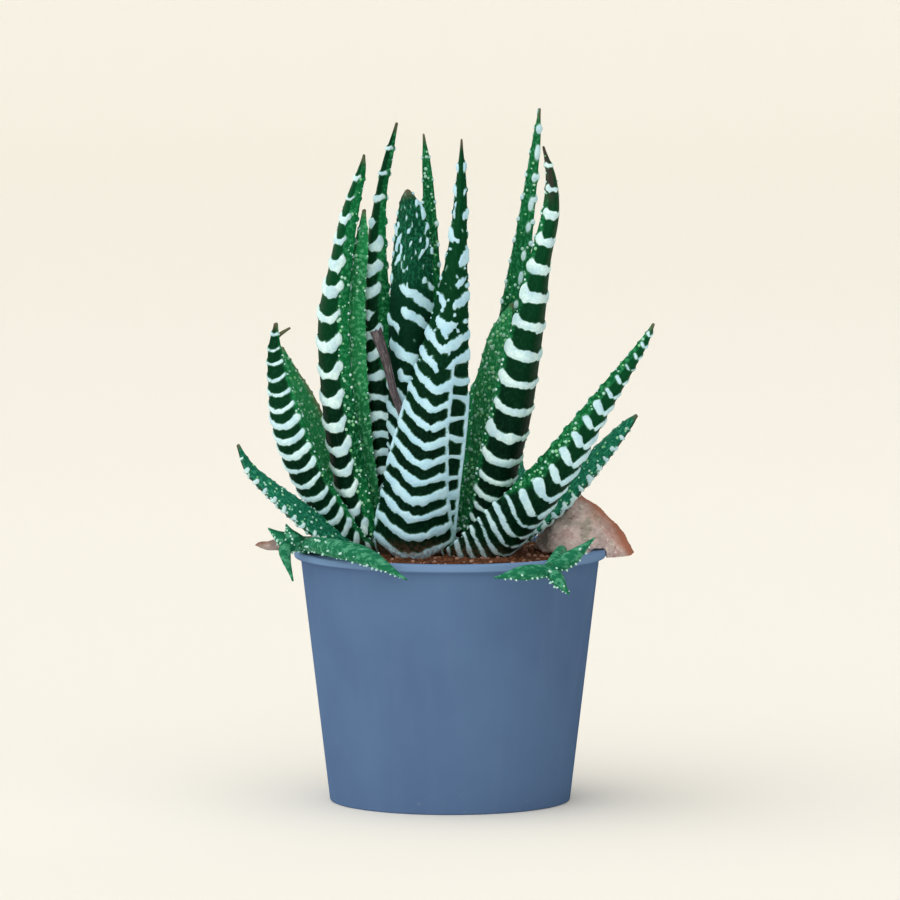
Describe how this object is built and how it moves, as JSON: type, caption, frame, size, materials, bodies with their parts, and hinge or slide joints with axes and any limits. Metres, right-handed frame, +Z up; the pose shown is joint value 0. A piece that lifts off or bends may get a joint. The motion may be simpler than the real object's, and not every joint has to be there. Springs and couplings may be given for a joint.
{
  "type": "potted haworthia plant",
  "caption": "Rosette of thick, keeled, white-banded leaves with small offsets, growing from soil in a plain round tapered pot with a thin lip.",
  "frame": {"origin": "centre of the pot's flat bottom", "axes": "+Z up along the pot's axis, the plant's front faces -Y, +X to its right"},
  "size_m": [0.1218, 0.1001, 0.2045],
  "materials": {
    "pot": "smooth matt slate-blue plastic, a little paler on the lip",
    "soil": "crumbly brown potting soil with pinkish-brown grit",
    "leaf_outer": "deep green waxy skin with raised bluish-white bands",
    "leaf_inner": "lighter green waxy skin with few raised dots",
    "leaf_low": "teal-green waxy skin with small white tubercles",
    "crown": "pale green stem tissue, hidden by the leaf bases",
    "dry_stalk": "dry greyish-brown fibrous flower stalk",
    "stone": "mottled greyish-pink stone with reddish-brown edges"
  },
  "bodies": {
    "root": {"pot": "pot", "soil": "soil", "crown": "crown", "dry_stalk": "dry_stalk", "leaf_left_dark": "leaf_outer", "leaf_left_tall": "leaf_outer", "leaf_front": "leaf_outer", "leaf_right_banded": "leaf_outer", "leaf_left_banded": "leaf_outer", "leaf_right_spread": "leaf_outer", "leaf_back_tall": "leaf_outer", "leaf_rear_left_tall": "leaf_outer", "leaf_rear_left_mid": "leaf_outer", "leaf_rear_mid": "leaf_outer", "leaf_rear_right_mid": "leaf_outer", "leaf_left_narrow": "leaf_inner", "leaf_centre_blunt": "leaf_inner", "leaf_right_inner": "leaf_inner", "leaf_right_tall": "leaf_inner", "leaf_left_behind": "leaf_inner", "leaf_rear_right_low": "leaf_low", "leaf_rear_left_low": "leaf_low", "leaf_rear_low": "leaf_low", "leaf_right_low": "leaf_low", "leaf_left_low": "leaf_low", "offset_left": "leaf_low", "offset_right": "leaf_low", "stone_right": "stone", "stone_left": "stone"}
  },
  "joints": []
}
